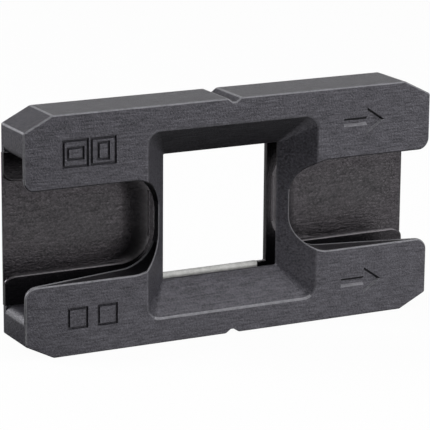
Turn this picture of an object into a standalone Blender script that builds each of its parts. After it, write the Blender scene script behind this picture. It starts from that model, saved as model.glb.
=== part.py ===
"""Carrier for mounted 50 x 50 mm slides: a body with a tapered window, a rear plate, two leaf springs.

Metres, +Z up. The carrier stands on its long lower edge, centred on the origin: +X is the way a
mount travels, -Y is the front (viewing) side and +Y the rear (lamp) side.
"""

import math

import bmesh
import bpy
from mathutils import Vector

MM = 0.001

# Overall block
BODY_LENGTH = 150.0 * MM
BODY_HEIGHT = 80.0 * MM
BODY_DEPTH = 18.5 * MM
CORNER_RUN = 10.0 * MM
CORNER_DROP = 5.0 * MM
NOTCH_WIDTH = 4.9 * MM
NOTCH_FLOOR = 1.3 * MM
NOTCH_DEPTH = 1.3 * MM
EDGE_BEVEL = 0.5 * MM

# Channel for the mount
MOUNT_SIDE = 50.0 * MM
MOUNT_PLAY = 1.0 * MM
LEAD_IN_RADIUS = 2.0 * MM

# Tapered window and gate
WINDOW_SIDE = 63.0 * MM
WINDOW_CORNER = 4.5 * MM
GATE_SIDE = 42.5 * MM
GATE_CORNER = 0.4 * MM
TAPER_DEPTH = 9.6 * MM
GATE_LIP = 0.8 * MM

# Arms and finger cut-outs
ARM_TIP = 1.2 * MM
RAMP_START = 32.3 * MM
CUTOUT_HEIGHT = 31.4 * MM
CUTOUT_REACH = 24.5 * MM
CUTOUT_RADIUS = 12.0 * MM
ARM_END_RADIUS = 4.0 * MM

# Rear plate
PLATE_THICKNESS = 2.0 * MM
PLATE_FLANGE = 6.0 * MM
FLANGE_SETBACK = 4.0 * MM
SCOOP_REACH = 23.4 * MM
SCOOP_RADIUS = 10.5 * MM
SCOOP_DEPTH = 1.2 * MM
SCOOP_SIDE_RUN = 0.8 * MM
SCOOP_END_RUN = 3.3 * MM
SCOOP_RIM_ANGLE = 60

# Leaf springs
LEAF_THICKNESS = 0.4 * MM
LEAF_EDGE_PLAY = 0.7 * MM
LEAF_LIP_START = 1.35 * MM
LEAF_LIP_LENGTH = 2.3 * MM
LEAF_LIP_ANGLE = 50
LEAF_ROOT_X = -42.0 * MM
LEAF_ROOT_LENGTH = 11.0 * MM
LEAF_TIP_X = 17.0 * MM
LEAF_STEP_RUN = 9.0 * MM
LEAF_STAND_OFF = 1.2 * MM
LEAF_TIP_RUN = 4.0 * MM
LEAF_TIP_BEND = 0.15 * MM
RIVET_PITCH = 6.0 * MM
RIVET_RADIUS = 0.9 * MM
RIVET_HEAD_RADIUS = 1.7 * MM
RIVET_HEAD_HEIGHT = 0.7 * MM

# Plate screws
SCREW_LENGTH = 8.0 * MM
SCREW_RADIUS = 1.25 * MM
SCREW_HEAD_RADIUS = 2.35 * MM
SCREW_HEAD_RIM = 0.15 * MM
SCREW_TIP_CHAMFER = 0.35 * MM
SCREW_SINK = 0.1 * MM
SCREW_END_INSET = 15.0 * MM
SOCKET_FLATS = 1.5 * MM
SOCKET_DEPTH = 0.8 * MM

# Gap between pieces that touch, and how far a cutter runs past the face it opens
GAP = 0.3 * MM
PAST = 1.0 * MM

# Fineness of round forms, and the angle in degrees below which an edge is shaded smooth
ARC_STEPS = 10
LIP_STEPS = 5
SCOOP_STEPS = 4
ROUND_SIDES = 24
SMOOTH_BELOW = 35

# Places that follow from the sizes above
FRONT = -BODY_DEPTH / 2
BACK = BODY_DEPTH / 2
HALF_LENGTH = BODY_LENGTH / 2
MID_HEIGHT = BODY_HEIGHT / 2
CHANNEL_HALF = (MOUNT_SIDE + MOUNT_PLAY) / 2
GATE_REAR = FRONT + TAPER_DEPTH + GATE_LIP
LAND = BACK - PLATE_THICKNESS
PLATE_HALF = CHANNEL_HALF + PLATE_FLANGE
SCREW_ROW = CHANNEL_HALF + PLATE_FLANGE / 2
LEAF_OUTER = CHANNEL_HALF - LEAF_EDGE_PLAY
LEAF_FOLD = GATE_SIDE / 2 + LEAF_LIP_START
LEAF_INNER = LEAF_FOLD - LEAF_LIP_LENGTH
LEAF_BACK = LAND - GAP
HINGE_X = LEAF_ROOT_X + LEAF_ROOT_LENGTH / 2
HINGE_Y = LEAF_BACK - LEAF_THICKNESS / 2


def make_material(name, colour, roughness, metallic):
    material = bpy.data.materials.new(name)
    material.use_nodes = True
    shader = material.node_tree.nodes["Principled BSDF"]
    shader.inputs["Base Color"].default_value = (*colour, 1.0)
    shader.inputs["Roughness"].default_value = roughness
    shader.inputs["Metallic"].default_value = metallic
    return material


def arc(centre, radius, start, end, steps=ARC_STEPS):
    """Points on an arc, angles in degrees, both ends included."""
    points = []
    for step in range(steps + 1):
        angle = math.radians(start + (end - start) * step / steps)
        points.append((centre[0] + radius * math.cos(angle), centre[1] + radius * math.sin(angle)))
    return points


def finish_object(name, mesh_builder, material=None, location=(0.0, 0.0, 0.0), smooth=False):
    """Turn a bmesh into a linked object whose faces point out."""
    bmesh.ops.recalc_face_normals(mesh_builder, faces=mesh_builder.faces)
    mesh = bpy.data.meshes.new(name)
    mesh_builder.to_mesh(mesh)
    mesh_builder.free()
    if smooth:
        mesh.shade_smooth()
        mesh.set_sharp_from_angle(angle=math.radians(SMOOTH_BELOW))
    item = bpy.data.objects.new(name, mesh)
    item.location = location
    bpy.context.scene.collection.objects.link(item)
    if material:
        mesh.materials.append(material)
    return item


def loft(sections):
    """Closed solid through rings of equally many points, capped at both ends."""
    builder = bmesh.new()
    rings = [[builder.verts.new(point) for point in section] for section in sections]
    for lower, upper in zip(rings, rings[1:]):
        for index in range(len(lower)):
            after = (index + 1) % len(lower)
            builder.faces.new((lower[index], lower[after], upper[after], upper[index]))
    builder.faces.new(rings[0])
    builder.faces.new(rings[-1])
    return builder


def across_y(outline, y):
    """Lift an (x, height about mid) outline to the plane at y."""
    return [Vector((x, y, MID_HEIGHT + height)) for x, height in outline]


def mark_cutter(item):
    item.hide_render = True
    item.display_type = "WIRE"
    return item


def boolean(target, other, operation):
    modifier = target.modifiers.new(f"{operation.lower()}_{other.name}", "BOOLEAN")
    modifier.operation = operation
    modifier.solver = "EXACT"
    modifier.object = other


def cut(target, cutter):
    boolean(target, mark_cutter(cutter), "DIFFERENCE")


def block_outline():
    """Front view of the block: cut corners and a shallow notch in the middle of each long side."""
    half_notch = NOTCH_WIDTH / 2
    half_floor = NOTCH_FLOOR / 2
    right_top = [
        (half_floor, MID_HEIGHT - NOTCH_DEPTH),
        (half_notch, MID_HEIGHT),
        (HALF_LENGTH - CORNER_RUN, MID_HEIGHT),
        (HALF_LENGTH, MID_HEIGHT - CORNER_DROP),
    ]
    right = right_top + [(x, -z) for x, z in reversed(right_top)]
    return right + [(-x, -z) for x, z in right]


def flare(half_height, radius, end, side):
    """Upper edge of an opening that rounds outward where it meets the end face, from outside in."""
    past_end = (end + PAST, half_height + radius)
    curve = arc((end - radius, half_height + radius), radius, 0, -90)
    return [(side * x, z) for x, z in [past_end] + curve]


def channel_outline():
    """Front view of the mount channel, with its rounded lead-in at both ends."""
    right = flare(CHANNEL_HALF, LEAD_IN_RADIUS, HALF_LENGTH, 1)
    left = flare(CHANNEL_HALF, LEAD_IN_RADIUS, HALF_LENGTH, -1)
    upper = right + left[::-1]
    return upper + [(x, -z) for x, z in reversed(upper)]


def cutout_outline(side, reach, half_height, radius, end_radius):
    """U-shaped finger cut-out, open at one end of the carrier."""
    radius = min(radius, half_height * 0.95)
    end_centre = (HALF_LENGTH - ARM_END_RADIUS, half_height + end_radius)
    upper = [(HALF_LENGTH + SCOOP_SIDE_RUN + PAST, end_centre[1])]
    upper += arc(end_centre, end_radius, 0, -90)
    upper += arc((reach + radius, half_height - radius), radius, 90, 180)
    points = upper + [(x, -z) for x, z in reversed(upper)]
    return [(side * x, z) for x, z in points]


def rounded_square(half, radius):
    points = []
    for quarter in range(4):
        turn = math.radians(90 * quarter)
        for x, z in arc((half - radius, half - radius), radius, 0, 90):
            points.append((x * math.cos(turn) - z * math.sin(turn), x * math.sin(turn) + z * math.cos(turn)))
    return points


def window_cutter():
    """Square funnel with round corners that sharpen towards the gate, then the straight gate lip."""
    front_half = WINDOW_SIDE / 2
    gate_half = GATE_SIDE / 2
    past_share = 1 + PAST / TAPER_DEPTH
    outer_half = gate_half + (front_half - gate_half) * past_share
    outer_corner = GATE_CORNER + (WINDOW_CORNER - GATE_CORNER) * past_share
    gate_ring = rounded_square(gate_half, GATE_CORNER)
    sections = [
        across_y(rounded_square(outer_half, outer_corner), FRONT - PAST),
        across_y(gate_ring, FRONT + TAPER_DEPTH),
        across_y(gate_ring, BACK + PAST),
    ]
    return loft(sections)


def channel_cutter():
    """Channel that narrows from both open ends to the gate, because the arms thicken inwards."""
    ramp_run = HALF_LENGTH - RAMP_START
    past_tip = FRONT + ARM_TIP - (GATE_REAR - FRONT - ARM_TIP) * PAST / ramp_run
    plan = [
        (-HALF_LENGTH - PAST, past_tip),
        (-RAMP_START, GATE_REAR),
        (RAMP_START, GATE_REAR),
        (HALF_LENGTH + PAST, past_tip),
        (HALF_LENGTH + PAST, LAND),
        (-HALF_LENGTH - PAST, LAND),
    ]
    plan_sections = [[Vector((x, y, z)) for x, y in plan] for z in (-PAST, BODY_HEIGHT + PAST)]
    ramps = finish_object("channel_ramps", loft(plan_sections))
    outline = channel_outline()
    channel = finish_object(
        "channel_cutter", loft([across_y(outline, FRONT - 2 * PAST), across_y(outline, BACK + 2 * PAST)])
    )
    boolean(channel, mark_cutter(ramps), "INTERSECT")
    return channel


def plate_outline(end, gap):
    """Front view of the rear plate: as wide as the channel, with flanges that stop short of both ends."""
    flange_end = HALF_LENGTH - FLANGE_SETBACK + gap
    right_top = [
        (flange_end, PLATE_HALF + gap),
        (flange_end, CHANNEL_HALF + gap),
        (end, CHANNEL_HALF + gap),
    ]
    right = right_top + [(x, -z) for x, z in reversed(right_top)]
    return right + [(-x, -z) for x, z in right]


def scoop_cutter(side):
    """Finger scoop with the outline of the cut-out and a hollow border, tangent to its floor."""
    rim_angle = math.radians(SCOOP_RIM_ANGLE)
    levels = [(0.0, LAND - PAST)]
    for step in range(SCOOP_STEPS + 1):
        angle = rim_angle * (1 - step / SCOOP_STEPS)
        share = 1 - math.sin(angle) / math.sin(rim_angle)
        rise = (1 - math.cos(angle)) / (1 - math.cos(rim_angle))
        levels.append((share, LAND + SCOOP_DEPTH * (1 - rise)))
    sections = []
    for share, y in levels:
        inset = SCOOP_SIDE_RUN * share
        section = cutout_outline(
            side,
            SCOOP_REACH + SCOOP_END_RUN * share,
            CUTOUT_HEIGHT / 2 - inset,
            SCOOP_RADIUS - inset,
            ARM_END_RADIUS + inset,
        )
        sections.append(across_y(section, y))
    return loft(sections)


def turned(profile):
    """Solid turned about Y from (radius, y) rings; a radius may be a function of the angle."""
    sections = []
    for radius, y in profile:
        ring = []
        for side in range(ROUND_SIDES):
            angle = 2 * math.pi * side / ROUND_SIDES
            reach = radius(angle) if callable(radius) else radius
            ring.append(Vector((reach * math.cos(angle), y, reach * math.sin(angle))))
        sections.append(ring)
    return loft(sections)


def socket_radius(angle):
    """Edge of a hexagon socket, seen from its centre."""
    sixth = math.pi / 3
    return SOCKET_FLATS / 2 / math.cos((angle + sixth / 2) % sixth - sixth / 2)


def screw_places():
    return [
        (column * (HALF_LENGTH - SCREW_END_INSET), row * SCREW_ROW)
        for row in (-1, 1)
        for column in (-1, 0, 1)
    ]


def screw_profile():
    """Countersunk screw along Y with its head at +Y, measured from the rear face of the plate."""
    head = -SCREW_SINK
    cone_end = head - SCREW_HEAD_RIM - (SCREW_HEAD_RADIUS - SCREW_RADIUS)
    tip = head - SCREW_LENGTH
    return [
        (socket_radius, head - SOCKET_DEPTH),
        (socket_radius, head),
        (SCREW_HEAD_RADIUS, head),
        (SCREW_HEAD_RADIUS, head - SCREW_HEAD_RIM),
        (SCREW_RADIUS, cone_end),
        (SCREW_RADIUS, tip + SCREW_TIP_CHAMFER),
        (SCREW_RADIUS - SCREW_TIP_CHAMFER, tip),
    ]


def screw_hole_profile():
    """The screw's own form with the gap all round."""
    cone_end = -SCREW_SINK - SCREW_HEAD_RIM - (SCREW_HEAD_RADIUS - SCREW_RADIUS)
    return [
        (SCREW_HEAD_RADIUS + GAP, PAST),
        (SCREW_HEAD_RADIUS + GAP, -SCREW_SINK - SCREW_HEAD_RIM),
        (SCREW_RADIUS + GAP, cone_end),
        (SCREW_RADIUS + GAP, -SCREW_SINK - SCREW_LENGTH - GAP),
    ]


def joined(name, profile, places):
    """One cutter object made of the same turned form at several places."""
    builder = bmesh.new()
    for x, y, z in places:
        form = turned(profile)
        bmesh.ops.translate(form, verts=form.verts, vec=(x, y, z))
        part_mesh = bpy.data.meshes.new(name)
        bmesh.ops.recalc_face_normals(form, faces=form.faces)
        form.to_mesh(part_mesh)
        form.free()
        builder.from_mesh(part_mesh)
        bpy.data.meshes.remove(part_mesh)
    return finish_object(name, builder)


def build_body(material):
    outline = block_outline()
    body = finish_object("carrier_body", loft([across_y(outline, FRONT), across_y(outline, BACK)]), material)
    bevel = body.modifiers.new("soft_edges", "BEVEL")
    bevel.width = EDGE_BEVEL
    bevel.segments = 2
    bevel.limit_method = "ANGLE"
    cut(body, channel_cutter())
    cut(body, finish_object("window_cutter", window_cutter()))
    for side, name in ((-1, "left"), (1, "right")):
        outline = cutout_outline(side, CUTOUT_REACH, CUTOUT_HEIGHT / 2, CUTOUT_RADIUS, ARM_END_RADIUS)
        sections = [across_y(outline, FRONT - PAST), across_y(outline, GATE_REAR + PAST)]
        cut(body, finish_object(f"{name}_cutout_cutter", loft(sections)))
    pocket = plate_outline(HALF_LENGTH + PAST, GAP)
    pocket_sections = [across_y(pocket, LAND - GAP), across_y(pocket, BACK + PAST)]
    cut(body, finish_object("plate_pocket_cutter", loft(pocket_sections)))
    return body


def build_plate(material):
    outline = plate_outline(HALF_LENGTH, 0.0)
    plate = finish_object("rear_plate", loft([across_y(outline, LAND), across_y(outline, BACK)]), material)
    window = rounded_square(GATE_SIDE / 2, GATE_CORNER)
    window_sections = [across_y(window, LAND - PAST), across_y(window, BACK + PAST)]
    cut(plate, finish_object("plate_window_cutter", loft(window_sections)))
    for side, name in ((-1, "left"), (1, "right")):
        cut(plate, finish_object(f"{name}_scoop_cutter", scoop_cutter(side)))
    return plate


def leaf_share(x):
    """How far along its step up from the root plane the leaf is at x, from 0 to 1."""
    step_start = LEAF_ROOT_X + LEAF_ROOT_LENGTH
    rise = min(max((x - step_start) / LEAF_STEP_RUN, 0.0), 1.0)
    return (1 - math.cos(math.pi * rise)) / 2


def leaf_rear(x):
    """Rear face of the leaf's flat part at x: the root, the step, a straight run and a bent-back tip."""
    fall = min(max((x - LEAF_TIP_X + LEAF_TIP_RUN) / LEAF_TIP_RUN, 0.0), 1.0)
    return LEAF_BACK - LEAF_STAND_OFF * leaf_share(x) + LEAF_TIP_BEND * fall * fall


def leaf_stations():
    step_start = LEAF_ROOT_X + LEAF_ROOT_LENGTH
    tip_start = LEAF_TIP_X - LEAF_TIP_RUN
    stations = [LEAF_ROOT_X]
    stations += [step_start + LEAF_STEP_RUN * step / ARC_STEPS for step in range(ARC_STEPS + 1)]
    stations += [tip_start + LEAF_TIP_RUN * step / 4 for step in range(5)]
    return stations


def leaf_section(x, side):
    """Cross-section at x: flat beside the rail, curled back along the gate once the leaf has stepped up."""
    rear = leaf_rear(x)
    front = rear - LEAF_THICKNESS
    turn = math.radians(LEAF_LIP_ANGLE) * leaf_share(x)
    front_side = [(LEAF_OUTER, front)]
    rear_side = [(LEAF_OUTER, rear)]
    for step in range(LIP_STEPS + 1):
        angle = turn * step / LIP_STEPS
        if turn < 0.001:
            height = LEAF_FOLD - LEAF_LIP_LENGTH * step / LIP_STEPS
            front_side.append((height, front))
            rear_side.append((height, rear))
            continue
        outer = LEAF_LIP_LENGTH / turn
        inner = outer - LEAF_THICKNESS
        front_side.append((LEAF_FOLD - outer * math.sin(angle), front + outer - outer * math.cos(angle)))
        rear_side.append((LEAF_FOLD - inner * math.sin(angle), front + outer - inner * math.cos(angle)))
    middle = (LEAF_OUTER + LEAF_INNER) / 2
    ring = front_side + rear_side[::-1]
    return [Vector((x - HINGE_X, y - HINGE_Y, side * (height - middle))) for height, y in ring]


def build_leaf(name, side, material):
    """Formed strip, riveted at its left end, whose origin lies on the line it flexes about."""
    location = (HINGE_X, HINGE_Y, MID_HEIGHT + side * (LEAF_OUTER + LEAF_INNER) / 2)
    sections = [leaf_section(x, side) for x in leaf_stations()]
    return finish_object(name, loft(sections), material, location, smooth=True)


def rivet_places(side):
    middle = side * (LEAF_INNER + LEAF_OUTER) / 2
    return [(HINGE_X + end * RIVET_PITCH / 2, MID_HEIGHT + middle) for end in (-1, 1)]


def rivet_profile():
    """Domed rivet along Y, measured from the rear face of the plate."""
    seat = LEAF_BACK - LEAF_THICKNESS - GAP - BACK
    crown = seat - RIVET_HEAD_HEIGHT
    return [
        (RIVET_RADIUS, 0.0),
        (RIVET_RADIUS, seat),
        (RIVET_HEAD_RADIUS, seat),
        (RIVET_HEAD_RADIUS * 0.92, seat - RIVET_HEAD_HEIGHT * 0.55),
        (RIVET_HEAD_RADIUS * 0.6, crown),
    ]


def build_springs(plate, steel, rivet_metal):
    hole = [(RIVET_RADIUS + GAP, GATE_REAR), (RIVET_RADIUS + GAP, BACK + PAST)]
    for side, name in ((-1, "lower"), (1, "upper")):
        leaf = build_leaf(f"{name}_leaf_spring", side, steel)
        places = rivet_places(side)
        holes = joined(f"{name}_rivet_holes", hole, [(x, 0.0, z) for x, z in places])
        cut(leaf, holes)
        cut(plate, holes)
        for number, (x, z) in enumerate(places, 1):
            rivet = turned(rivet_profile())
            finish_object(f"{name}_spring_rivet_{number}", rivet, rivet_metal, (x, BACK, z), smooth=True)


def build_screws(body, plate, material):
    places = screw_places()
    holes = joined("screw_holes", screw_hole_profile(), [(x, BACK, MID_HEIGHT + z) for x, z in places])
    cut(body, holes)
    cut(plate, holes)
    for number, (x, z) in enumerate(places, 1):
        location = (x, BACK, MID_HEIGHT + z)
        screw = turned(screw_profile())
        finish_object(f"plate_screw_{number}", screw, material, location, smooth=True)


def main():
    for item in list(bpy.data.objects):
        bpy.data.objects.remove(item, do_unlink=True)
    body_plastic = make_material("body_plastic", (0.022, 0.022, 0.025), 0.5, 0.0)
    plate_plastic = make_material("plate_plastic", (0.022, 0.021, 0.022), 0.5, 0.0)
    spring_steel = make_material("spring_steel", (0.66, 0.66, 0.64), 0.3, 1.0)
    rivet_steel = make_material("rivet_steel", (0.55, 0.55, 0.55), 0.35, 1.0)
    screw_steel = make_material("screw_steel", (0.04, 0.04, 0.045), 0.4, 0.8)
    body = build_body(body_plastic)
    plate = build_plate(plate_plastic)
    build_springs(plate, spring_steel, rivet_steel)
    build_screws(body, plate, screw_steel)


main()
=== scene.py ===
import math

import bmesh
import bpy
from mathutils import Euler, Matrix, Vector
from mathutils.kdtree import KDTree


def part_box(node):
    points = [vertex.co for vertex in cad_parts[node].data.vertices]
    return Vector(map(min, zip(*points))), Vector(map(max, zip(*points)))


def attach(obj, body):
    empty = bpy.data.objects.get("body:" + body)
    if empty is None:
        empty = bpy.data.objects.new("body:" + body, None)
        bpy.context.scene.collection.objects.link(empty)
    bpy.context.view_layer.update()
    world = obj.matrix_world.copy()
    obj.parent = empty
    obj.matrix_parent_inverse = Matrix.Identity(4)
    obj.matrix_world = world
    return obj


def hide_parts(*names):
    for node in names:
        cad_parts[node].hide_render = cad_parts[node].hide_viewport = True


MM = 0.001

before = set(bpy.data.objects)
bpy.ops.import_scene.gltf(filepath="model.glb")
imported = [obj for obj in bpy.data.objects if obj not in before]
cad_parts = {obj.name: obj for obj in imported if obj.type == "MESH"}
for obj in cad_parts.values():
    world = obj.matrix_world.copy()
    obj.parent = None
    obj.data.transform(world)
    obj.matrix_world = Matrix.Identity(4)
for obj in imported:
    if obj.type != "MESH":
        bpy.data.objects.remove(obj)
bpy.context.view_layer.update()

# The CAD's own places, so that the dressed pieces sit where the solids sit
body_low, body_high = (Vector(corner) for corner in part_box("carrier_body"))
plate_low, plate_high = (Vector(corner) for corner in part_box("rear_plate"))
FRONT = body_low.y
BACK = body_high.y
HALF_LENGTH = (body_high.x - body_low.x) / 2
MID_HEIGHT = (body_high.z + body_low.z) / 2
LAND = plate_low.y
PLATE_HALF = (plate_high.z - plate_low.z) / 2

# Sizes of the body that the photograph gives
CORNER_RUN = 10.0 * MM
CORNER_DROP = 5.0 * MM
NOTCH_WIDTH = 4.9 * MM
NOTCH_FLOOR = 1.3 * MM
NOTCH_DEPTH = 1.3 * MM
CHANNEL_HALF = 25.5 * MM
LEAD_IN_RADIUS = 3.0 * MM
WINDOW_HALF = 31.5 * MM
WINDOW_CORNER = 4.5 * MM
GATE_HALF = 21.25 * MM
GATE_CORNER = 0.4 * MM
TAPER_DEPTH = 9.6 * MM
GATE_REAR = FRONT + 10.4 * MM
ARM_TIP = 1.2 * MM
RAMP_START = 32.3 * MM
CUTOUT_HALF = 15.7 * MM
CUTOUT_REACH = 24.5 * MM
CUTOUT_RADIUS = 12.0 * MM
ARM_END_RADIUS = 4.0 * MM

# Rear plate
FLANGE_SETBACK = 4.0 * MM
PLATE_WINDOW_SHIFT = -0.3 * MM
SCOOP_REACH = 23.4 * MM
SCOOP_RADIUS = 10.5 * MM
SCOOP_DEPTH = 1.2 * MM
SCOOP_HALF = 16.35 * MM
SCOOP_SIDE_RUN = 0.8 * MM
SCOOP_END_RUN = 10.0 * MM
SCOOP_RIM_ANGLE = 69
SCOOP_RIM_SHARE = 0.05
SCOOP_FLARE = 0.2

# Screws and rivets, measured from their rear faces
SCREW_COUNT = 6
SCREW_RADIUS = 1.25 * MM
SCREW_HEAD_RADIUS = 2.35 * MM
SCREW_RIM = 0.15 * MM
SCREW_LENGTH = 8.0 * MM
SCREW_TIP = 0.35 * MM
SCREW_EDGE = 0.08 * MM
SCREW_EDGE_MIDDLE = 0.3 * SCREW_EDGE
CONE_END = -SCREW_RIM - (SCREW_HEAD_RADIUS - SCREW_RADIUS)
SOCKET_FLATS = 1.5 * MM
SOCKET_DEPTH = 0.8 * MM
RIVET_RADIUS = 0.9 * MM
RIVET_HEAD_RADIUS = 1.7 * MM
RIVET_HEAD_HEIGHT = 0.7 * MM
RIVET_TAIL_INSET = 0.15 * MM
RIVET_TAIL_RUN = 0.12 * MM

# Leaf springs
LEAF_THICKNESS = 0.4 * MM
LEAF_ROOT_X = -42.0 * MM
LEAF_TIP_X = 17.0 * MM
LEAF_STEP_START = -31.0 * MM
LEAF_STEP_RUN = 9.0 * MM
LEAF_STAND_OFF = 1.2 * MM
LEAF_FLAT_PLACES = [-15 * MM, -10 * MM, 0.0, 5 * MM]
LEAF_TIP_RUN = 4.0 * MM
LEAF_TIP_BEND = 0.15 * MM
LEAF_FOLD = 22.6 * MM
LEAF_OUTER = 24.8 * MM
LEAF_LIP_LENGTH = 2.35 * MM
LEAF_LIP_ANGLE = 50
LEAF_LEAST_TURN = 0.001
LEAF_CORNER = 1.2 * MM

# Marks engraved in the front
MARK_PAST = 0.3 * MM
ARROW_TAIL = 41.3 * MM
ARROW_SHAFT = 9.0 * MM
ARROW_POINT = 6.1 * MM
ARROW_DEPTH = 0.78 * MM
ARROW_SPREAD = 0.39 * MM
ARROW_HEAD_SPREAD = 0.28 * MM
ARROW_FLARE = 2.2
ARROW_FLARE_END = 0.1
UPPER_ARROW_HEIGHT = 67.8 * MM
UPPER_ARROW_HALVES = (0.95 * MM, 4.1 * MM)
LOWER_ARROW_HEIGHT = 12.1 * MM
LOWER_ARROW_HALVES = (1.05 * MM, 4.2 * MM)
MARK_DEPTH = 0.6 * MM
MARK_STROKE = 0.85 * MM
MARK_TAPER = 0.12 * MM
UPPER_SIGN_HEIGHT = 67.0 * MM
LYING_SIGN_X = -57.1 * MM
STANDING_SIGN_X = -47.3 * MM
UPPER_SIGN_HALF = 4.2 * MM
PICTURE_LONG_HALF = 2.7 * MM
PICTURE_SHORT_HALF = 1.8 * MM
LOWER_SIGN_HEIGHT = 12.5 * MM
LOWER_SIGN_PLACES = (-56.6 * MM, -46.0 * MM)
LOWER_SIGN_HALF = 3.2 * MM

# Fit, rounding and fineness of the meshes
SEAM = 0.12 * MM
PAST = 1.0 * MM
BODY_EDGE = 0.5 * MM
PLATE_EDGE = 0.25 * MM
LEAF_EDGE = 0.08 * MM
LEAF_EDGE_ANGLE = 60
MERGE_DISTANCE = 0.004 * MM
FLAT_ANGLE = 0.4
CRISP_ANGLE = 40
FLAT_WEIGHT = 80
FLATNESS = 0.01 * MM
CUT_DISTANCE = 0.001 * MM
ARC_STEPS = 24
CORNER_STEPS = 10
ARM_END_STEPS = 12
SCOOP_STEPS = 24
LIP_STEPS = 12
LEAF_STEP_STEPS = 20
LEAF_END_STEPS = 8
DOME_STEPS = 10
SCREW_SIDES = 48
SCREW_HOLE_SIDES = 40
RIVET_SIDES = 40
RIVET_HOLE_SIDES = 32

# Shares of a normal past which a face or an edge counts as turned up, down, to the left or back
UP = 0.3
DOWN = -0.2
SLIGHTLY_DOWN = -0.05
LEFT = -0.45
REAR = 0.5
BARELY = 0.1
WALL_REAR = 0.3
TAPER_LEAN = (-0.8, -0.6)
SOFFIT_FALL = 0.68

# Painted highlight and painted shade, which faces carry as values from 0 to 1
PAINTED_HIGHLIGHT = "painted_highlight"
PAINTED_SHADE = "painted_shade"
THIN_RIM = 100
HIGHLIGHT_STRIP = 1.6 * MM
FAINT_HIGHLIGHT = 0.1
BACK_HIGHLIGHT = 0.6
LEAD_IN_HIGHLIGHT = 0.6
SCOOP_HIGHLIGHT = 0.55
SCOOP_END_HIGHLIGHT = 0.9
LAND_SHADE = 0.7
MARK_SHADE = 0.7
SOFFIT_SHADE = 0.85

# Look of the materials
UNIT = (0.0, 1.0)
NOISE_RANGE = (0.3, 0.7)
TONE_RANGE = (0.38, 0.62)
GRAIN_SCALE = 1500.0
BLOTCH_SCALE = 260.0
BLOTCH_SHARE = 0.1
STREAK_LAY = (170.0, 1500.0, 1500.0)
# Patches in the painted highlight
HIGHLIGHT_PATCH_SCALE = 700.0
HIGHLIGHT_PATCHES = (0.55, 0.95)
# Near-black colour of the painted shade, and the share of gloss left where it is painted
SHADE_COLOUR = (0.005, 0.005, 0.006)
SHADE_GLOSS = 0.3
STAIN_SCALE = 320.0
STAIN_SHARE = 0.4
LINE_STRENGTH = 0.15
LINE_RELIEF = 0.00003

# Studio: places in metres on the floor, and shares of a direction in the world
AMBIENT = 0.04
BACKDROP_TOP = (0.26, 0.4)
BACKDROP_ABOVE = 0.05
BACKDROP_LEFT = (-0.15, -0.3)
BACKDROP_NEAR = (-0.3, 0.3)
FLOOR_SIZE = 6.0
FLOOR_GAP = 0.02 * MM
FLOOR_GLOW = 0.96
FLOOR_DARK = 0.06
FLOOR_PALE = 0.9
FRONT_SHEET_Y = (-0.002, -0.014)
FRONT_SHEET_X = (-0.1, -0.04)
FRONT_SHEET_FADE = (-0.08, -0.25)
FRONT_SHEET_LEVELS = (1.0, 0.5)
FAR_SHEET_Y = (0.015, 0.06)
FAR_SHEET_X = (0.05, -0.05)
FAR_SHEET_LEVEL = 0.3

# Camera fitted to the photograph
CAMERA_PLACE = (-0.380096, -0.727627, 0.246762)
CAMERA_TURN = (75.761291, -0.451016, -27.325421)
CAMERA_LENS = 212.763
CAMERA_SENSOR = 36.0
CAMERA_CLIP = (0.05, 50.0)


def arc(centre, radius, start, end, steps=ARC_STEPS):
    points = []
    for step in range(steps + 1):
        angle = math.radians(start + (end - start) * step / steps)
        points.append((centre[0] + radius * math.cos(angle), centre[1] + radius * math.sin(angle)))
    return points


def loft(sections, closed=False):
    """Solid through rings of points: capped at both ends, or with its last ring joined to its first."""
    builder = bmesh.new()
    rings = [[builder.verts.new(point) for point in section] for section in sections]
    followers = rings[1:] + rings[:1] if closed else rings[1:]
    for lower, upper in zip(rings, followers):
        for index in range(len(lower)):
            after = (index + 1) % len(lower)
            builder.faces.new((lower[index], lower[after], upper[after], upper[index]))
    if not closed:
        builder.faces.new(rings[0])
        builder.faces.new(rings[-1])
    bmesh.ops.recalc_face_normals(builder, faces=builder.faces)
    return builder


def link(name, builder):
    mesh = bpy.data.meshes.new(name)
    builder.to_mesh(mesh)
    builder.free()
    item = bpy.data.objects.new(name, mesh)
    bpy.context.scene.collection.objects.link(item)
    return item


def across_y(outline, y):
    return [Vector((x, y, MID_HEIGHT + height)) for x, height in outline]


def prism(name, outline, low, high):
    return link(name, loft([across_y(outline, low), across_y(outline, high)]))


def combine(target, others, operation="DIFFERENCE"):
    """Apply Booleans to target for good, and remove what it was combined with."""
    for other in others:
        modifier = target.modifiers.new(other.name, "BOOLEAN")
        modifier.operation = operation
        modifier.solver = "EXACT"
        modifier.object = other
    depsgraph = bpy.context.evaluated_depsgraph_get()
    result = bpy.data.meshes.new_from_object(target.evaluated_get(depsgraph))
    target.modifiers.clear()
    spent = target.data
    target.data = result
    bpy.data.meshes.remove(spent)
    for other in others:
        mesh = other.data
        bpy.data.objects.remove(other, do_unlink=True)
        bpy.data.meshes.remove(mesh)
    return target


def four_quarters(right_top):
    """Outline with the same form in all four quarters, from its upper right one."""
    right = right_top + [(x, -z) for x, z in reversed(right_top)]
    return right + [(-x, -z) for x, z in right]


def block_outline():
    return four_quarters(
        [
            (NOTCH_FLOOR / 2, MID_HEIGHT - NOTCH_DEPTH),
            (NOTCH_WIDTH / 2, MID_HEIGHT),
            (HALF_LENGTH - CORNER_RUN, MID_HEIGHT),
            (HALF_LENGTH, MID_HEIGHT - CORNER_DROP),
        ]
    )


def plate_outline(end, gap):
    """Front view of the rear plate: as wide as the channel, with flanges that stop short of both ends."""
    flange_end = HALF_LENGTH - FLANGE_SETBACK + gap
    return four_quarters(
        [
            (flange_end, PLATE_HALF + gap),
            (flange_end, CHANNEL_HALF + gap),
            (end, CHANNEL_HALF + gap),
        ]
    )


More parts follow.
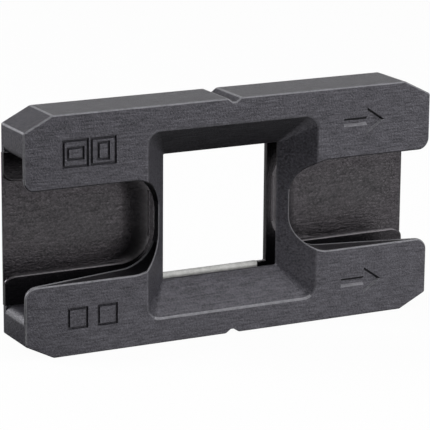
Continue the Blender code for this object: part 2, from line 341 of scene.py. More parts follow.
def channel_outline():
    centre = (HALF_LENGTH - LEAD_IN_RADIUS, CHANNEL_HALF + LEAD_IN_RADIUS)
    right = [(HALF_LENGTH + PAST, centre[1])] + arc(centre, LEAD_IN_RADIUS, 0, -90, CORNER_STEPS)
    upper = right + [(-x, z) for x, z in reversed(right)]
    return upper + [(x, -z) for x, z in reversed(upper)]


def cutout_outline(side, reach, half_height, radius, end_radius):
    """Cut-out that is open at one end of the body, which it meets in rounded arm ends."""
    end_centre = (HALF_LENGTH - ARM_END_RADIUS, half_height + end_radius)
    upper = [(HALF_LENGTH + SCOOP_SIDE_RUN + PAST, end_centre[1])]
    upper += arc(end_centre, end_radius, 0, -90, ARM_END_STEPS)
    upper += arc((reach + radius, half_height - radius), radius, 90, 180)
    points = upper + [(x, -z) for x, z in reversed(upper)]
    return [(side * x, z) for x, z in points]


def rounded_square(half, radius):
    points = []
    for quarter in range(4):
        turn = math.radians(90 * quarter)
        for x, z in arc((half - radius, half - radius), radius, 0, 90, CORNER_STEPS):
            points.append((x * math.cos(turn) - z * math.sin(turn), x * math.sin(turn) + z * math.cos(turn)))
    return points


def window_cutter():
    """Window that tapers to the gate and goes on through the back."""
    share = 1 + PAST / TAPER_DEPTH
    outer_half = GATE_HALF + (WINDOW_HALF - GATE_HALF) * share
    outer_corner = GATE_CORNER + (WINDOW_CORNER - GATE_CORNER) * share
    gate_ring = rounded_square(GATE_HALF, GATE_CORNER)
    sections = [
        across_y(rounded_square(outer_half, outer_corner), FRONT - PAST),
        across_y(gate_ring, FRONT + TAPER_DEPTH),
        across_y(gate_ring, BACK + PAST),
    ]
    return link("window_cutter", loft(sections))


def channel_cutter():
    """Channel for the mounts, which widens to the front as a wedge towards both ends."""
    ramp_run = HALF_LENGTH - RAMP_START
    past_tip = FRONT + ARM_TIP - (GATE_REAR - FRONT - ARM_TIP) * PAST / ramp_run
    plan = [
        (-HALF_LENGTH - PAST, past_tip),
        (-RAMP_START, GATE_REAR),
        (RAMP_START, GATE_REAR),
        (HALF_LENGTH + PAST, past_tip),
        (HALF_LENGTH + PAST, LAND),
        (-HALF_LENGTH - PAST, LAND),
    ]
    sections = [[Vector((x, y, z)) for x, y in plan] for z in (-PAST, 2 * MID_HEIGHT + PAST)]
    ramps = link("channel_ramps", loft(sections))
    channel = prism("channel_cutter", channel_outline(), FRONT - 2 * PAST, BACK + 2 * PAST)
    return combine(channel, [ramps], "INTERSECT")


def edge_highlight(edge):
    """Share of painted highlight on a rounded edge: full where it faces up or to the left and on thin rims,
    less on back edges, faint around the gate and elsewhere.
    """
    first, second = (face.normal for face in edge.link_faces)
    mean = (first + second).normalized()
    middle = (edge.verts[0].co + edge.verts[1].co) / 2
    if max(abs(middle.x), abs(middle.z - MID_HEIGHT)) < GATE_HALF + BODY_EDGE:
        return FAINT_HIGHLIGHT
    if mean.z > UP:
        return 1.0
    if mean.z > DOWN and (mean.x < LEFT or first.angle(second) > math.radians(THIN_RIM)):
        return 1.0
    return BACK_HIGHLIGHT if mean.y > REAR else FAINT_HIGHLIGHT


def highlight_points(edges):
    """Points every millimetre along the edges, and the painted highlight at each."""
    points = []
    for edge in edges:
        highlight = edge_highlight(edge)
        start, end = (corner.co for corner in edge.verts)
        steps = max(1, round(edge.calc_length() / MM))
        points += [(start.lerp(end, step / steps), highlight) for step in range(steps + 1)]
    return points


def spread_highlight(faces, points, layer):
    """Give each face the painted highlight of the point nearest to it."""
    nearby = KDTree(len(points))
    for index, (point, amount) in enumerate(points):
        nearby.insert(point, index)
    nearby.balance()
    for face in faces:
        face[layer] = points[nearby.find(face.calc_center_median())[1]][1]


def sharp_edges(builder, least_angle, keep):
    """Outward edges that turn by least_angle degrees or more, of those that keep lets through."""
    edges = []
    for edge in builder.edges:
        if not edge.is_manifold or not edge.is_convex:
            continue
        if edge.calc_face_angle() < math.radians(least_angle):
            continue
        if keep and not keep(edge):
            continue
        edges.append(edge)
    return edges


def soften(item, width, segments=3, least_angle=25.0, keep=None):
    """Round the outward edges of a solid, and note on the rounded faces how much highlight is painted on
    them.
    """
    builder = bmesh.new()
    builder.from_mesh(item.data)
    layer = builder.faces.layers.float.new(PAINTED_HIGHLIGHT)
    bmesh.ops.remove_doubles(builder, verts=builder.verts, dist=MERGE_DISTANCE)
    bmesh.ops.dissolve_limit(
        builder,
        angle_limit=math.radians(FLAT_ANGLE),
        verts=builder.verts,
        edges=builder.edges,
        delimit=set(),
    )
    sharp = sharp_edges(builder, least_angle, keep)
    points = highlight_points(sharp)
    made = bmesh.ops.bevel(
        builder,
        geom=sharp,
        offset=width,
        offset_type="OFFSET",
        segments=segments,
        profile=0.5,
        affect="EDGES",
        clamp_overlap=False,
        loop_slide=True,
        material=-1,
    )
    spread_highlight(made["faces"], points, layer)
    bmesh.ops.recalc_face_normals(builder, faces=builder.faces)
    builder.to_mesh(item.data)
    builder.free()
    return item


def shade(item):
    """Smooth shading that keeps large faces flat and real corners crisp."""
    item.data.shade_smooth()
    item.data.set_sharp_from_angle(angle=math.radians(CRISP_ANGLE))
    weighted = item.modifiers.new("flat_faces", "WEIGHTED_NORMAL")
    weighted.keep_sharp = True
    weighted.weight = FLAT_WEIGHT
    return item


def clear_of_slot(edge):
    """False for the edges along the plate's tongue, which stay sharp so that the seam stays shut."""
    return not all(
        abs(abs(corner.co.z - MID_HEIGHT) - CHANNEL_HALF) < 2 * SEAM and corner.co.y > LAND - 2 * SEAM
        for corner in edge.verts
    )


def mark_faces(item, marks):
    """Set painted highlight and painted shade: each mark takes a face and its centre, and returns the values
    to set there.
    """
    builder = bmesh.new()
    builder.from_mesh(item.data)
    layers = builder.faces.layers.float
    for name in (PAINTED_HIGHLIGHT, PAINTED_SHADE):
        if layers.get(name) is None:
            layers.new(name)
    for face in builder.faces:
        for mark in marks:
            for name, amount in mark(face, face.calc_center_median()).items():
                face[layers[name]] = amount
    builder.to_mesh(item.data)
    builder.free()


def lies_at(face, y):
    return all(abs(corner.co.y - y) < FLATNESS for corner in face.verts)


def mark_sign(face, centre):
    """Paint shade on the floors of the engraved signs."""
    return {PAINTED_SHADE: MARK_SHADE} if lies_at(face, FRONT + MARK_DEPTH) else {}


def mark_underside(face, centre):
    """Paint shade on what faces down in the window and along the cut-outs."""
    height = centre.z - MID_HEIGHT
    by_cutout = abs(centre.x) > CUTOUT_REACH - BODY_EDGE and 0 < height < CUTOUT_HALF + BODY_EDGE
    if by_cutout and face.normal.z < DOWN and face.normal.y < REAR:
        return {PAINTED_SHADE: 1.0}
    least_lean, most_lean = TAPER_LEAN
    on_taper = least_lean < face.normal.y < most_lean and abs(centre.x) < WINDOW_HALF
    if on_taper and face.normal.z < SLIGHTLY_DOWN and height > 0:
        return {PAINTED_SHADE: SOFFIT_SHADE * min(1.0, -face.normal.z / SOFFIT_FALL)}
    return {}


def mark_arrow(face, centre):
    """Paint highlight on the arrows' upward walls, and shade on their downward walls."""
    engraved = FLATNESS < centre.y - FRONT < ARROW_DEPTH - FLATNESS
    along = ARROW_TAIL - MM < centre.x < ARROW_TAIL + ARROW_SHAFT + ARROW_POINT + MM
    by_cutout = abs(centre.z - MID_HEIGHT) < CUTOUT_HALF + BODY_EDGE
    if not engraved or not along or by_cutout:
        return {}
    if face.normal.z > -DOWN:
        return {PAINTED_HIGHLIGHT: face.normal.z}
    return {PAINTED_SHADE: 1.0} if face.normal.z < DOWN else {}


def mark_lead_in(face, centre):
    """Paint highlight on the lower lead-ins, the more the further they turn towards the end."""
    below = MID_HEIGHT - CHANNEL_HALF - centre.z
    at_end = abs(centre.x) > HALF_LENGTH - LEAD_IN_RADIUS and 0 < below < LEAD_IN_RADIUS
    normal = face.normal
    if at_end and normal.z > BARELY and abs(normal.x) > BARELY and abs(normal.y) < BARELY:
        return {PAINTED_HIGHLIGHT: LEAD_IN_HIGHLIGHT * normal.x**2}
    return {}


def arm_walls(builder, side):
    """Upward walls of the cut-out at one end: those on the ramp behind the arm, and the rest."""
    walls = {True: [], False: []}
    for face in builder.faces:
        centre = face.calc_center_median()
        if face.normal.z < UP or face.normal.y > WALL_REAR or side * centre.x < CUTOUT_REACH:
            continue
        if abs(centre.z - MID_HEIGHT) < CUTOUT_HALF + BODY_EDGE:
            walls[side * centre.x > RAMP_START].append(face)
    return walls


def paint_wall_light_and_shade(builder, walls, start, rearward):
    """Cut walls at start, across rearward, and paint highlight on them behind the cut and shade before it."""
    highlight, shade_layer = (builder.faces.layers.float[name] for name in (PAINTED_HIGHLIGHT, PAINTED_SHADE))
    parts = list(dict.fromkeys(part for face in walls for part in (*face.verts, *face.edges, face)))
    cut = bmesh.ops.bisect_plane(builder, geom=parts, dist=CUT_DISTANCE, plane_co=start, plane_no=rearward)
    for part in cut["geom"]:
        if not isinstance(part, bmesh.types.BMFace):
            continue
        if (part.calc_center_median() - start).dot(rearward) > 0:
            part[highlight] = 1.0
        elif part[highlight] == 0.0:
            part[shade_layer] = 1.0


def mark_arm_walls(body):
    """Paint shade on the walls of the cut-outs, but for a strip at the rear with a painted highlight."""
    builder = bmesh.new()
    builder.from_mesh(body.data)
    builder.faces.layers.float.new(PAINTED_SHADE)
    for side in (-1, 1):
        walls = arm_walls(builder, side)
        up_ramp = Vector((side * (GATE_REAR - FRONT - ARM_TIP), HALF_LENGTH - RAMP_START, 0.0))
        for on_ramp, rearward in ((True, up_ramp.normalized()), (False, Vector((0.0, 1.0, 0.0)))):
            start = Vector((side * RAMP_START, GATE_REAR, 0.0)) - rearward * HIGHLIGHT_STRIP
            paint_wall_light_and_shade(builder, walls[on_ramp], start, rearward)
    builder.to_mesh(body.data)
    builder.free()


def build_body():
    body = prism("body_shell", block_outline(), FRONT, BACK)
    cutters = [channel_cutter(), window_cutter()]
    for side in (-1, 1):
        outline = cutout_outline(side, CUTOUT_REACH, CUTOUT_HALF, CUTOUT_RADIUS, ARM_END_RADIUS)
        cutters.append(prism(f"cutout_{side}", outline, FRONT - PAST, GATE_REAR + PAST))
    pocket = plate_outline(HALF_LENGTH + PAST, SEAM)
    cutters.append(prism("pocket", pocket, LAND - SEAM, BACK + PAST))
    combine(body, cutters)
    soften(body, BODY_EDGE, keep=clear_of_slot)
    mark_arm_walls(body)
    combine(body, arrow_cutters() + sign_cutters() + screw_holes())
    mark_faces(body, [mark_sign, mark_underside, mark_arrow, mark_lead_in])
    return shade(body)


def cove_share(depth):
    """How far up from a scoop's floor to its rim its inner end is at this share of the depth."""
    rim = math.radians(SCOOP_RIM_ANGLE)
    return math.sin(math.acos(depth + (1 - depth) * math.cos(rim))) / math.sin(rim)


def scoop_levels():
    """End, side and depth shares down a scoop: hollow at its inner end, rounded over along its sides."""
    rim = math.radians(SCOOP_RIM_ANGLE)
    levels = [(-SCOOP_RIM_SHARE - SCOOP_FLARE, -SCOOP_FLARE, -PAST / SCOOP_DEPTH)]
    levels.append((-SCOOP_RIM_SHARE, 0.0, 0.0))
    for step in range(SCOOP_STEPS + 1):
        angle = rim * (1 - step / SCOOP_STEPS)
        depth = 1 - (1 - math.cos(angle)) / (1 - math.cos(rim))
        if depth > SCOOP_RIM_SHARE:
            levels.append((1 - cove_share(depth), math.sqrt(depth * (2 - depth)), depth))
    return levels


def scoop_cutter(side):
    """Finger scoop behind a cut-out, a little taller than it."""
    sections = []
    for end_share, side_share, depth in scoop_levels():
        inset = SCOOP_SIDE_RUN * side_share
        outline = cutout_outline(
            side,
            SCOOP_REACH + SCOOP_END_RUN * end_share,
            SCOOP_HALF - inset,
            SCOOP_RADIUS - inset,
            ARM_END_RADIUS + inset,
        )
        sections.append(across_y(outline, LAND + SCOOP_DEPTH * depth))
    return link(f"scoop_{side}", loft(sections))


def mark_land(face, centre):
    """Paint shade on the flat front of the plate around the scoops."""
    return {PAINTED_SHADE: LAND_SHADE} if lies_at(face, LAND) else {}


def mark_scoop(face, centre):
    """Paint highlight on the scoops' borders towards their rims, and shade on their inner ends."""
    depth = (centre.y - LAND) / SCOOP_DEPTH
    height = abs(centre.z - MID_HEIGHT)
    if abs(centre.x) < SCOOP_REACH or height > SCOOP_HALF:
        return {}
    if not FLATNESS < centre.y - LAND < SCOOP_DEPTH - FLATNESS:
        return {}
    if height > SCOOP_HALF - SCOOP_SIDE_RUN:
        return {PAINTED_HIGHLIGHT: SCOOP_HIGHLIGHT * (1 - depth)}
    return {PAINTED_HIGHLIGHT: SCOOP_END_HIGHLIGHT * (1 - depth) ** 2, PAINTED_SHADE: math.sin(math.pi * cove_share(depth))}


def build_plate():
    plate = prism("rear_cover", plate_outline(HALF_LENGTH, 0.0), LAND, BACK)
    outline = [
        (x + PLATE_WINDOW_SHIFT * (x > 0), z + PLATE_WINDOW_SHIFT * (z < 0))
        for x, z in rounded_square(GATE_HALF, GATE_CORNER)
    ]
    window = prism("plate_window", outline, LAND - PAST, BACK + PAST)
    combine(plate, [window])
    soften(plate, PLATE_EDGE, keep=clear_of_slot)
    rivet_holes = [rivet_hole(name, place) for name, place in rivet_places().items()]
    combine(plate, [scoop_cutter(-1), scoop_cutter(1)] + screw_holes() + rivet_holes)
    mark_faces(plate, [mark_land, mark_scoop])
    return shade(plate)


def turned_solid(profile, sides, place):
    """Solid turned about Y from (radius, y) rings; a radius may be a function of the angle."""
    sections = []
    for radius, y in profile:
        ring = []
        for side in range(sides):
            angle = 2 * math.pi * side / sides
            reach = radius(angle) if callable(radius) else radius
            x = place[0] + reach * math.cos(angle)
            z = place[2] + reach * math.sin(angle)
            ring.append(Vector((x, place[1] + y, z)))
        sections.append(ring)
    return loft(sections)


def rear_centre(node):
    low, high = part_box(node)
    return ((low[0] + high[0]) / 2, high[1], (low[2] + high[2]) / 2)


def screw_places():
    return [rear_centre(f"plate_screw_{number}") for number in range(1, SCREW_COUNT + 1)]


def rivet_places():
    names = [f"{row}_spring_rivet_{number}" for row in ("lower", "upper") for number in (1, 2)]
    return {name: rear_centre(name) for name in names}


def screw_holes():
    profile = [
        (SCREW_HEAD_RADIUS + SEAM, PAST),
        (SCREW_HEAD_RADIUS + SEAM, -SCREW_RIM),
        (SCREW_RADIUS + SEAM, CONE_END),
        (SCREW_RADIUS + SEAM, -SCREW_LENGTH - SEAM),
    ]
    holes = []
    for number, place in enumerate(screw_places()):
        holes.append(link(f"screw_hole_{number}", turned_solid(profile, SCREW_HOLE_SIDES, place)))
    return holes


def rivet_hole(name, place):
    profile = [(RIVET_RADIUS + SEAM, GATE_REAR - BACK), (RIVET_RADIUS + SEAM, PAST)]
    return link(f"{name}_hole", turned_solid(profile, RIVET_HOLE_SIDES, place))


def arrow_outline(neck, tip, shaft, head, height):
    """Arrow along +X: shaft and head are half heights about the height of its axis."""
    points = [
        (ARROW_TAIL, -shaft),
        (neck, -shaft),
        (neck, -head),
        (tip, 0.0),
        (neck, head),
        (neck, shaft),
        (ARROW_TAIL, shaft),
    ]
    return [(x, z + height - MID_HEIGHT) for x, z in points]


def arrow_cutter(name, height, shaft, head):
    """Engraved arrow whose long walls slope in, with a fine flare where they meet the face."""
    neck = ARROW_TAIL + ARROW_SHAFT
    slant = math.hypot(ARROW_POINT, head)
    levels = ((-MARK_PAST, ARROW_FLARE), (ARROW_FLARE_END * ARROW_DEPTH, 1.0), (ARROW_DEPTH, -1.0))
    sections = []
    for y, share in levels:
        spread = ARROW_HEAD_SPREAD * share
        outline = arrow_outline(
            neck,
            neck + ARROW_POINT + spread * slant / head,
            shaft + ARROW_SPREAD * share,
            head + spread * slant / ARROW_POINT,
            height,
        )
        sections.append(across_y(outline, FRONT + y))
    return link(name, loft(sections))


def arrow_cutters():
    return [
        arrow_cutter("upper_arrow", UPPER_ARROW_HEIGHT, *UPPER_ARROW_HALVES),
        arrow_cutter("lower_arrow", LOWER_ARROW_HEIGHT, *LOWER_ARROW_HALVES),
    ]


def box_outline(centre, half_width, half_height):
    x, z = centre
    return [
        (x - half_width, z - half_height),
        (x + half_width, z - half_height),
        (x + half_width, z + half_height),
        (x - half_width, z + half_height),
    ]


def frame_cutter(name, x, height, half_width, half_height):
    """Engraved line along the edge of a rectangle, narrower at its floor than at the face."""
    rings = []
    for side, y in ((1, -MARK_PAST), (1, MARK_DEPTH), (-1, MARK_DEPTH), (-1, -MARK_PAST)):
        width = MARK_STROKE / 2 - MARK_TAPER * y / MARK_DEPTH
        outline = box_outline((x, height - MID_HEIGHT), half_width + side * width, half_height + side * width)
        rings.append(across_y(outline, FRONT + y))
    return link(name, loft(rings, closed=True))


def sign_cutters():
    """Plain pictograms of a mount: with its picture lying and standing above, and twice without below."""
    pictures = (
        (LYING_SIGN_X, PICTURE_LONG_HALF, PICTURE_SHORT_HALF),
        (STANDING_SIGN_X, PICTURE_SHORT_HALF, PICTURE_LONG_HALF),
    )
    cutters = []
    for x, half_width, half_height in pictures:
        cutters.append(frame_cutter("mount_sign", x, UPPER_SIGN_HEIGHT, UPPER_SIGN_HALF, UPPER_SIGN_HALF))
        cutters.append(frame_cutter("picture_sign", x, UPPER_SIGN_HEIGHT, half_width, half_height))
    for x in LOWER_SIGN_PLACES:
        cutters.append(frame_cutter("empty_sign", x, LOWER_SIGN_HEIGHT, LOWER_SIGN_HALF, LOWER_SIGN_HALF))
    return cutters


def socket_radius(angle):
    sixth = math.pi / 3
    return SOCKET_FLATS / 2 / math.cos((angle + sixth / 2) % sixth - sixth / 2)


def socket_mouth(angle):
    return socket_radius(angle) + SCREW_EDGE


def build_screw(name, place):
    profile = [
        (socket_radius, -SOCKET_DEPTH),
        (socket_radius, -SCREW_EDGE),
        (socket_mouth, 0.0),
        (SCREW_HEAD_RADIUS - SCREW_EDGE, 0.0),
        (SCREW_HEAD_RADIUS - SCREW_EDGE_MIDDLE, -SCREW_EDGE_MIDDLE),
        (SCREW_HEAD_RADIUS, -SCREW_EDGE),
        (SCREW_HEAD_RADIUS, -SCREW_RIM),
        (SCREW_RADIUS, CONE_END),
        (SCREW_RADIUS, -SCREW_LENGTH + SCREW_TIP),
        (SCREW_RADIUS - SCREW_TIP, -SCREW_LENGTH),
    ]
    return shade(link(name, turned_solid(profile, SCREW_SIDES, place)))


def build_rivet(name, place):
    low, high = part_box(name)
    seat = low[1] + RIVET_HEAD_HEIGHT - high[1]
    profile = [
        (RIVET_RADIUS - RIVET_TAIL_INSET, 0.0),
        (RIVET_RADIUS, -RIVET_TAIL_RUN),
        (RIVET_RADIUS, seat),
        (RIVET_HEAD_RADIUS, seat),
    ]
    for step in range(1, DOME_STEPS):
        angle = math.radians(90 / DOME_STEPS * step)
        profile.append((RIVET_HEAD_RADIUS * math.cos(angle), seat - RIVET_HEAD_HEIGHT * math.sin(angle)))
    return shade(link(name + "_head", turned_solid(profile, RIVET_SIDES, place)))


def leaf_share(x):
    """How far the leaf has stepped up at x, from 0 at its root to 1."""
    rise = min(max((x - LEAF_STEP_START) / LEAF_STEP_RUN, 0.0), 1.0)
    return (1 - math.cos(math.pi * rise)) / 2


def leaf_stations():
    """Places along the leaf for its cross-sections, closer where it is round or bent."""
    turns = [math.radians(90 * step / LEAF_END_STEPS) for step in range(LEAF_END_STEPS + 1)]
    tip_bend = LEAF_TIP_RUN - LEAF_CORNER
    stations = [LEAF_ROOT_X + LEAF_CORNER * (1 - math.cos(turn)) for turn in turns]
    for step in range(LEAF_STEP_STEPS + 1):
        stations.append(LEAF_STEP_START + LEAF_STEP_RUN * step / LEAF_STEP_STEPS)
    stations += LEAF_FLAT_PLACES
    for step in range(LEAF_END_STEPS):
        stations.append(LEAF_TIP_X - LEAF_TIP_RUN + tip_bend * step / LEAF_END_STEPS)
    stations += [LEAF_TIP_X - LEAF_CORNER * (1 - math.sin(turn)) for turn in turns]
    return stations


def leaf_inset(x):
    """How far the leaf's rounded corners draw its edges in at x."""
    edge = min(x - LEAF_ROOT_X, LEAF_TIP_X - x)
    if edge >= LEAF_CORNER:
        return 0.0
    return LEAF_CORNER - math.sqrt(max(LEAF_CORNER**2 - (LEAF_CORNER - edge) ** 2, 0.0))


def leaf_section(x, side, root_back):
    """Cross-section at x: flat beside the rail, curled back along the gate once the leaf has stepped up."""
    inset = leaf_inset(x)
    fall = min(max((x - LEAF_TIP_X + LEAF_TIP_RUN) / LEAF_TIP_RUN, 0.0), 1.0)
    rear = root_back - LEAF_STAND_OFF * leaf_share(x) + LEAF_TIP_BEND * fall * fall
    front = rear - LEAF_THICKNESS
    turn = math.radians(LEAF_LIP_ANGLE) * leaf_share(x)
    length = LEAF_LIP_LENGTH - inset
    front_side = [(LEAF_OUTER - inset, front)]
    rear_side = [(LEAF_OUTER - inset, rear)]
    for step in range(LIP_STEPS + 1):
        share = step / LIP_STEPS
        if turn < LEAF_LEAST_TURN:
            front_side.append((LEAF_FOLD - length * share, front))
            rear_side.append((LEAF_FOLD - length * share, rear))
            continue
        outer = LEAF_LIP_LENGTH / turn
        inner = outer - LEAF_THICKNESS
        angle = length / outer * share
        front_side.append((LEAF_FOLD - outer * math.sin(angle), front + outer - outer * math.cos(angle)))
        rear_side.append((LEAF_FOLD - inner * math.sin(angle), front + outer - inner * math.cos(angle)))
    ring = front_side + rear_side[::-1]
    return [Vector((x, y, MID_HEIGHT + side * height)) for height, y in ring]


def build_leaf(row):
    """Formed strip with rounded corners, built station by station along the channel."""
    low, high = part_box(f"{row}_leaf_spring")
    side = -1 if row == "lower" else 1
    leaf = link(f"{row}_leaf", loft([leaf_section(x, side, high[1]) for x in leaf_stations()]))
    places = rivet_places()
    combine(leaf, [rivet_hole(name, places[name]) for name in places if name.startswith(row)])
    soften(leaf, LEAF_EDGE, segments=2, least_angle=LEAF_EDGE_ANGLE)
    return shade(leaf)


def blank(name):
    material = bpy.data.materials.new(name)
    material.use_nodes = True
    tree = material.node_tree
    return material, tree, tree.nodes["Principled BSDF"]


def noise(tree, place, scale, detail, roughness=0.55):
    node = tree.nodes.new("ShaderNodeTexNoise")
    node.inputs["Scale"].default_value = scale
    node.inputs["Detail"].default_value = detail
    node.inputs["Roughness"].default_value = roughness
    tree.links.new(place, node.inputs["Vector"])
    return node.outputs["Fac"]


def stretched(tree, place, scale):
    node = tree.nodes.new("ShaderNodeMapping")
    node.inputs["Scale"].default_value = scale
    tree.links.new(place, node.inputs["Vector"])
    return node.outputs["Vector"]


def math_node(tree, operation, first, second):
    node = tree.nodes.new("ShaderNodeMath")
    node.operation = operation
    for socket, value in zip(node.inputs, (first, second)):
        if isinstance(value, (int, float)):
            socket.default_value = value
        else:
            tree.links.new(value, socket)
    return node.outputs["Value"]


def blend(tree, first, second, share):
    """Mean of two values, with this share of the second."""
    kept = math_node(tree, "MULTIPLY", first, 1 - share)
    return math_node(tree, "ADD", kept, math_node(tree, "MULTIPLY", second, share))


def remap(tree, value, source, target):
    node = tree.nodes.new("ShaderNodeMapRange")
    node.inputs["From Min"].default_value, node.inputs["From Max"].default_value = source
    node.inputs["To Min"].default_value, node.inputs["To Max"].default_value = target
    tree.links.new(value, node.inputs["Value"])
    return node.outputs["Result"]


def blend_colour(tree, factor, first, second):
    node = tree.nodes.new("ShaderNodeMix")
    node.data_type = "RGBA"
    tree.links.new(factor, node.inputs[0])
    for socket, value in ((node.inputs[6], first), (node.inputs[7], second)):
        if isinstance(value, tuple):
            socket.default_value = (*value, 1.0)
        else:
            tree.links.new(value, socket)
    return node.outputs[2]


def bump(tree, shader, height, strength, distance):
    node = tree.nodes.new("ShaderNodeBump")
    node.inputs["Strength"].default_value = strength
    node.inputs["Distance"].default_value = distance
    tree.links.new(height, node.inputs["Height"])
    tree.links.new(node.outputs["Normal"], shader.inputs["Normal"])


def face_value(tree, name):
    node = tree.nodes.new("ShaderNodeAttribute")
    node.attribute_name = name
    return node.outputs["Fac"]


def nylon(name, dark, light, highlight_colour, tint, roughness, sheen, relief, streaks):
    """Charcoal nylon with grain and faint streaks along X: paler where highlight is painted, darker and less
    glossy where shade is painted.
    """
    material, tree, shader = blank(name)
    place = tree.nodes.new("ShaderNodeTexCoord").outputs["Object"]
    blotch = noise(tree, place, BLOTCH_SCALE, detail=4.0)
    grain = noise(tree, place, GRAIN_SCALE, detail=3.0, roughness=0.65)
    streak = noise(tree, stretched(tree, place, STREAK_LAY), 1.0, detail=3.0)
    height = blend(tree, grain, streak, streaks)
    tone = blend(tree, height, blotch, BLOTCH_SHARE)
    # Painted shade: marked faces turn near black
    painted_shade = face_value(tree, PAINTED_SHADE)
    # Painted highlight: marked faces turn paler, in patches
    patches = remap(tree, noise(tree, place, HIGHLIGHT_PATCH_SCALE, detail=4.0), NOISE_RANGE, HIGHLIGHT_PATCHES)
    highlight_share = math_node(tree, "MULTIPLY", face_value(tree, PAINTED_HIGHLIGHT), patches)
    colour = blend_colour(tree, remap(tree, tone, TONE_RANGE, UNIT), dark, light)
    colour = blend_colour(tree, painted_shade, colour, SHADE_COLOUR)
    colour = blend_colour(tree, highlight_share, colour, highlight_colour)
    tree.links.new(colour, shader.inputs["Base Color"])
    # Less gloss where shade is painted
    gloss_in_shade = remap(tree, painted_shade, UNIT, (1.0, SHADE_GLOSS))
    gloss = math_node(tree, "MULTIPLY", remap(tree, tone, TONE_RANGE, sheen), gloss_in_shade)
    tree.links.new(gloss, shader.inputs["Specular IOR Level"])
    shader.inputs["Specular Tint"].default_value = (*tint, 1.0)
    tree.links.new(remap(tree, grain, NOISE_RANGE, roughness), shader.inputs["Roughness"])
    bump(tree, shader, height, 1.0, relief)
    return material


def body_plastic():
    return nylon(
        "charcoal_body",
        dark=(0.02, 0.0193, 0.0235),
        light=(0.044, 0.0428, 0.052),
        # Pale colour painted on marked edges and walls as highlight
        highlight_colour=(0.27, 0.27, 0.285),
        tint=(0.93, 0.905, 1.0),
        roughness=(0.36, 0.46),
        sheen=(0.42, 1.12),
        relief=0.00024,
        streaks=0.42,
    )


def plate_plastic():
    return nylon(
        "charcoal_plate",
        dark=(0.0038, 0.0035, 0.0039),
        light=(0.0125, 0.0114, 0.0127),
        # Pale colour painted on marked rims and borders as highlight
        highlight_colour=(0.17, 0.164, 0.17),
        tint=(1.0, 0.93, 1.0),
        roughness=(0.2, 0.27),
        sheen=(0.38, 1.0),
        relief=0.00016,
        streaks=0.3,
    )


def satin_steel(name, dark, light, lay, roughness=(0.26, 0.42)):
    """Rolled strip or turned metal: fine lines along the lay, a little uneven gloss."""
    material, tree, shader = blank(name)
    place = tree.nodes.new("ShaderNodeTexCoord").outputs["Object"]
    lines = noise(tree, stretched(tree, place, lay), 1.0, detail=4.0, roughness=0.7)
    stain = noise(tree, place, STAIN_SCALE, detail=3.0)
    tone = remap(tree, blend(tree, lines, stain, STAIN_SHARE), NOISE_RANGE, UNIT)
    tree.links.new(blend_colour(tree, tone, dark, light), shader.inputs["Base Color"])
    shader.inputs["Metallic"].default_value = 1.0
    tree.links.new(remap(tree, lines, NOISE_RANGE, roughness), shader.inputs["Roughness"])
    bump(tree, shader, lines, LINE_STRENGTH, LINE_RELIEF)
    return material


def strip_steel():
    return satin_steel(
        "strip_steel",
        dark=(0.34, 0.34, 0.332),
        light=(0.68, 0.68, 0.665),
        lay=(700.0, 1500.0, 1500.0),
        roughness=(0.55, 0.68),
    )


def rivet_steel():
    return satin_steel(
        "rivet_steel",
        dark=(0.42, 0.42, 0.42),
        light=(0.62, 0.62, 0.6),
        lay=(900.0, 900.0, 900.0),
    )


def black_steel():
    return satin_steel(
        "black_steel",
        dark=(0.02, 0.02, 0.022),
        light=(0.05, 0.05, 0.055),
        lay=(1200.0, 600.0, 1200.0),
    )


def dress(item, material, node, body="carrier"):
    item.data.materials.clear()
    item.data.materials.append(material)
    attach(item, body)
    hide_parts(node)


def build_object():
    dress(build_body(), body_plastic(), "carrier_body")
    dress(build_plate(), plate_plastic(), "rear_plate")
    spring = strip_steel()
    for row in ("lower", "upper"):
        dress(build_leaf(row), spring, f"{row}_leaf_spring", f"{row}_leaf")
    pale = rivet_steel()
    for name, place in rivet_places().items():
        dress(build_rivet(name, place), pale, name)
    black = black_steel()
    for number, place in enumerate(screw_places(), 1):
        screw = build_screw(f"rear_screw_{number}", place)
        dress(screw, black, f"plate_screw_{number}")


def build_camera():
    data = bpy.data.cameras.new("photo_camera")
    data.sensor_width = CAMERA_SENSOR
    data.lens = CAMERA_LENS
    data.clip_start, data.clip_end = CAMERA_CLIP
    camera = bpy.data.objects.new("photo_camera", data)
    camera.location = CAMERA_PLACE
    camera.rotation_euler = Euler([math.radians(angle) for angle in CAMERA_TURN], "XYZ")
    bpy.context.scene.collection.objects.link(camera)
    bpy.context.scene.camera = camera


def area_light(name, place, size, energy):
    """Square lamp that shines on the middle of the object."""
    data = bpy.data.lights.new(name, "AREA")
    data.energy = energy
    data.size = size
    lamp = bpy.data.objects.new(name, data)
    lamp.location = place
    towards = Vector((0.0, 0.0, MID_HEIGHT)) - Vector(place)
    lamp.rotation_euler = towards.to_track_quat("-Z", "Y").to_euler()
    bpy.context.scene.collection.objects.link(lamp)


def seen_directly(tree, path):
    """1 for a ray from the camera or through glass, so that these see a white studio."""
    return math_node(tree, "MAXIMUM", path.outputs["Is Camera Ray"], path.outputs["Is Transmission Ray"])


def axes(tree, vector):
    node = tree.nodes.new("ShaderNodeSeparateXYZ")
    tree.links.new(vector, node.inputs["Vector"])
    return node.outputs["X"], node.outputs["Y"], node.outputs["Z"]


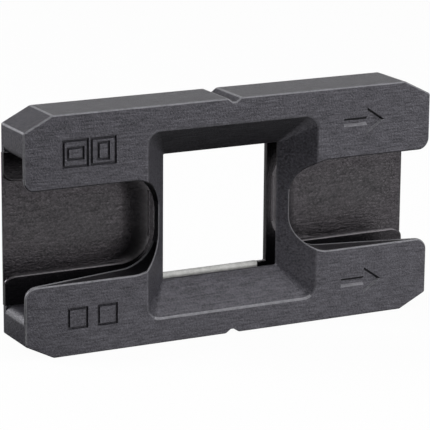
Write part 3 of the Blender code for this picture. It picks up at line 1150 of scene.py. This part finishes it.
def build_world():
    """Dim room, white to the camera; reflections show a white backdrop behind, low down and to the left."""
    world = bpy.data.worlds.new("studio")
    world.use_nodes = True
    tree = world.node_tree
    background = tree.nodes["Background"]
    background.inputs["Color"].default_value = (1.0, 1.0, 1.0, 1.0)
    path = tree.nodes.new("ShaderNodeLightPath")
    across, behind, above = axes(tree, tree.nodes.new("ShaderNodeTexCoord").outputs["Generated"])
    low_down = remap(tree, above, BACKDROP_TOP, (1.0, BACKDROP_ABOVE))
    level = math_node(tree, "MAXIMUM", low_down, remap(tree, across, BACKDROP_LEFT, UNIT))
    backdrop = math_node(tree, "MULTIPLY", remap(tree, behind, BACKDROP_NEAR, UNIT), level)
    mirrored = math_node(tree, "MULTIPLY", path.outputs["Is Glossy Ray"], backdrop)
    white = math_node(tree, "MAXIMUM", seen_directly(tree, path), mirrored)
    tree.links.new(remap(tree, white, UNIT, (AMBIENT, 1.0)), background.inputs["Strength"])
    bpy.context.scene.world = world


def mirrored_sheets(tree):
    """Brightness of the floor in reflections: a pale sheet in front, and a dimmer one behind to the left."""
    x, y = axes(tree, tree.nodes.new("ShaderNodeTexCoord").outputs["Object"])[:2]
    front_level = remap(tree, y, FRONT_SHEET_FADE, FRONT_SHEET_LEVELS)
    front = math_node(tree, "MULTIPLY", remap(tree, y, FRONT_SHEET_Y, UNIT), front_level)
    front = math_node(tree, "MULTIPLY", front, remap(tree, x, FRONT_SHEET_X, UNIT))
    far = math_node(tree, "MULTIPLY", remap(tree, y, FAR_SHEET_Y, UNIT), FAR_SHEET_LEVEL)
    far = math_node(tree, "MULTIPLY", far, remap(tree, x, FAR_SHEET_X, UNIT))
    return math_node(tree, "MAXIMUM", front, far)


def floor_paper():
    """White to the camera, with shadows; dark to other rays, but for the sheets that reflections show."""
    material = bpy.data.materials.new("studio_floor")
    material.use_nodes = True
    tree = material.node_tree
    output = tree.nodes["Material Output"]
    tree.nodes.remove(tree.nodes["Principled BSDF"])
    path = tree.nodes.new("ShaderNodeLightPath")
    direct = seen_directly(tree, path)
    mirrored = math_node(tree, "MULTIPLY", path.outputs["Is Glossy Ray"], mirrored_sheets(tree))
    paper = tree.nodes.new("ShaderNodeBsdfDiffuse")
    tree.links.new(remap(tree, direct, UNIT, (FLOOR_DARK, FLOOR_PALE)), paper.inputs["Color"])
    glow = tree.nodes.new("ShaderNodeEmission")
    mix = tree.nodes.new("ShaderNodeMixShader")
    glowing = math_node(tree, "MAXIMUM", math_node(tree, "MULTIPLY", direct, FLOOR_GLOW), mirrored)
    tree.links.new(glowing, mix.inputs["Fac"])
    tree.links.new(paper.outputs["BSDF"], mix.inputs[1])
    tree.links.new(glow.outputs["Emission"], mix.inputs[2])
    tree.links.new(mix.outputs["Shader"], output.inputs["Surface"])
    return material


def build_floor():
    builder = bmesh.new()
    bmesh.ops.create_grid(builder, x_segments=2, y_segments=2, size=FLOOR_SIZE)
    floor = link("studio_floor", builder)
    floor.location.z = -FLOOR_GAP
    floor.data.materials.append(floor_paper())


def build_lamps():
    area_light("key", place=(0.77, -1.1, 0.45), size=1.0, energy=11.0)
    area_light("overhead", place=(0.66, -0.42, 1.3), size=1.0, energy=7.0)
    area_light("left_sky", place=(-0.6, -0.7, 1.25), size=0.8, energy=3.0)
    area_light("back_fill", place=(-1.0, 0.62, 0.78), size=0.6, energy=13.0)


bpy.context.scene.view_settings.view_transform = "Standard"
build_object()
build_camera()
build_world()
build_floor()
build_lamps()
